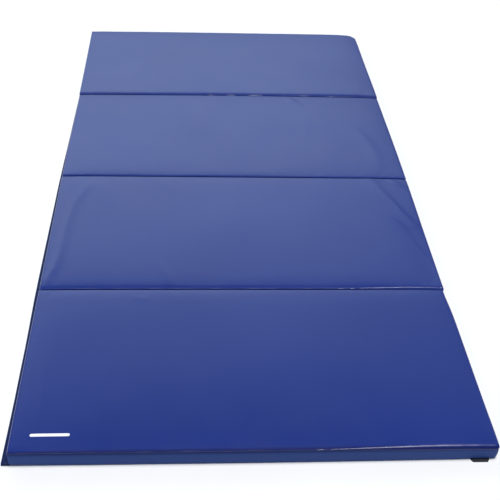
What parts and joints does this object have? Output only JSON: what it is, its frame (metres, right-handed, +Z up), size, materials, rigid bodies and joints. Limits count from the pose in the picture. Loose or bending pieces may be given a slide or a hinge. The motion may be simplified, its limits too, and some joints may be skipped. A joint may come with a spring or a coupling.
{
  "type": "folding gym mat",
  "caption": "Folding gym mat: foam panels in vinyl covers, joined by fabric hinges that fold it into a stack, with hook-and-loop strips along its sides.",
  "frame": {"origin": "centre of the bounding box, at its base", "axes": "+Y along the mat's length from its near wall to its far wall, +X across it towards the loop tape side, +Z up from the floor"},
  "size_m": [1.2372, 2.4474, 0.0533],
  "materials": {
    "blue_vinyl": "semi-gloss royal blue vinyl-coated fabric with a fine emboss",
    "wall_vinyl": "the same vinyl on the side walls, underside and flaps, slightly duller",
    "hinge_vinyl": "the same vinyl doubled for the fold hinges",
    "foam": "white closed-cell polyethylene foam",
    "hook_tape": "black nylon hook tape",
    "loop_tape": "black nylon loop tape",
    "thread": "blue polyester thread in the sewn seams"
  },
  "bodies": {
    "panel_1": {"panel_1_foam_lower": "foam", "panel_1_foam_upper": "foam", "panel_1_top_cover": "blue_vinyl", "panel_1_bottom_cover": "wall_vinyl", "panel_1_near_wall": "wall_vinyl", "panel_1_far_wall": "wall_vinyl", "panel_1_left_gusset": "wall_vinyl", "panel_1_right_gusset": "wall_vinyl", "panel_1_flap_web": "wall_vinyl", "panel_1_loop_tape": "loop_tape"},
    "panel_2": {"panel_2_foam_lower": "foam", "panel_2_foam_upper": "foam", "panel_2_top_cover": "blue_vinyl", "panel_2_bottom_cover": "wall_vinyl", "panel_2_near_wall": "wall_vinyl", "panel_2_far_wall": "wall_vinyl", "panel_2_left_gusset": "wall_vinyl", "panel_2_right_gusset": "wall_vinyl", "panel_2_flap_web": "wall_vinyl", "panel_2_loop_tape": "loop_tape", "far_hinge_web": "hinge_vinyl"},
    "panel_3": {"panel_3_foam_lower": "foam", "panel_3_foam_upper": "foam", "panel_3_top_cover": "blue_vinyl", "panel_3_bottom_cover": "wall_vinyl", "panel_3_near_wall": "wall_vinyl", "panel_3_far_wall": "wall_vinyl", "panel_3_left_gusset": "wall_vinyl", "panel_3_right_gusset": "wall_vinyl", "panel_3_flap_web": "wall_vinyl", "panel_3_loop_tape": "loop_tape", "middle_hinge_web": "hinge_vinyl", "near_hinge_web": "hinge_vinyl"},
    "panel_4": {"panel_4_foam_lower": "foam", "panel_4_foam_upper": "foam", "panel_4_top_cover": "blue_vinyl", "panel_4_bottom_cover": "wall_vinyl", "panel_4_near_wall": "wall_vinyl", "panel_4_far_wall": "wall_vinyl", "panel_4_left_gusset": "wall_vinyl", "panel_4_right_gusset": "wall_vinyl", "panel_4_flap_web": "wall_vinyl", "panel_4_loop_tape": "loop_tape"},
    "flap_1": {"panel_1_flap": "wall_vinyl", "panel_1_hook_tape": "hook_tape"},
    "flap_2": {"panel_2_flap": "wall_vinyl", "panel_2_hook_tape": "hook_tape"},
    "flap_3": {"panel_3_flap": "wall_vinyl", "panel_3_hook_tape": "hook_tape"},
    "flap_4": {"panel_4_flap": "wall_vinyl", "panel_4_hook_tape": "hook_tape"}
  },
  "joints": [
    {"name": "fold_middle", "type": "hinge", "parent": "panel_3", "child": "panel_2", "pos_m": [0.009, 0.0045, 0.0553], "axis": [1, 0, 0], "range_deg": [0, 180]},
    {"name": "fold_far", "type": "hinge", "parent": "panel_2", "child": "panel_1", "pos_m": [0.009, 0.61535, -0.0008], "axis": [-1, 0, 0], "range_deg": [0, 180]},
    {"name": "fold_near", "type": "hinge", "parent": "panel_3", "child": "panel_4", "pos_m": [0.009, -0.60635, -0.0008], "axis": [1, 0, 0], "range_deg": [0, 180]},
    {"name": "flap_1_turn", "type": "hinge", "parent": "panel_1", "child": "flap_1", "pos_m": [-0.6189, 0.92078, 0.00235], "axis": [0, 1, 0], "range_deg": [0, 180]},
    {"name": "flap_2_turn", "type": "hinge", "parent": "panel_2", "child": "flap_2", "pos_m": [-0.6189, 0.30993, 0.00235], "axis": [0, 1, 0], "range_deg": [0, 180]},
    {"name": "flap_3_turn", "type": "hinge", "parent": "panel_3", "child": "flap_3", "pos_m": [-0.6189, -0.30092, 0.00235], "axis": [0, 1, 0], "range_deg": [0, 180]},
    {"name": "flap_4_turn", "type": "hinge", "parent": "panel_4", "child": "flap_4", "pos_m": [-0.6189, -0.91178, 0.00235], "axis": [0, 1, 0], "range_deg": [0, 180]}
  ]
}
